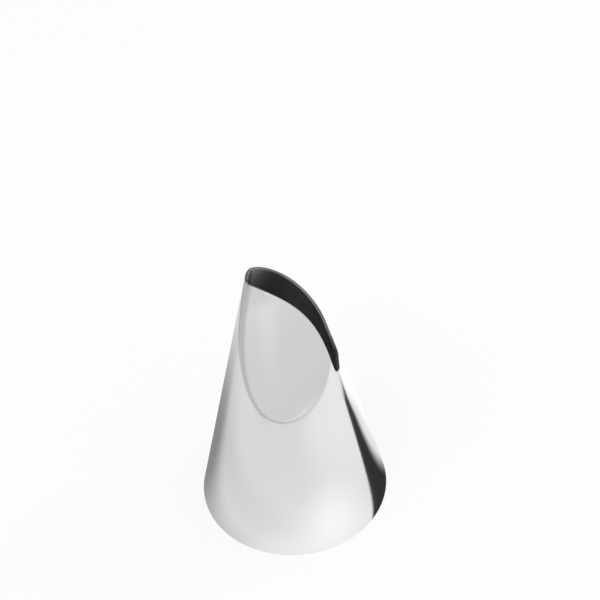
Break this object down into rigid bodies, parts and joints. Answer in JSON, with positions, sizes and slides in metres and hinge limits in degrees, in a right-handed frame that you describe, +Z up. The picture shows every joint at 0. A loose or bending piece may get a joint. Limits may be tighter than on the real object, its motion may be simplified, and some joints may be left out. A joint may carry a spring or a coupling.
{
  "type": "piping nozzle",
  "caption": "Large petal piping nozzle: a thin sheet-metal cone with a dished front and a slanting curved mouth that narrows to one side.",
  "frame": {"origin": "centre of the base rim, on the plane that the nozzle stands on", "axes": "+Z up along the cone's axis from the base to the mouth, -Y towards the dished face, -X towards the high wide end of the mouth and +X towards its low narrow end"},
  "size_m": [0.03, 0.03, 0.049],
  "materials": {
    "shell_steel": "bright polished sheet outside, duller drawn finish inside",
    "weld_steel": "linished weld, slightly duller than the sheet"
  },
  "bodies": {
    "root": {"nozzle_shell": "shell_steel", "seam_weld": "weld_steel"}
  },
  "joints": []
}
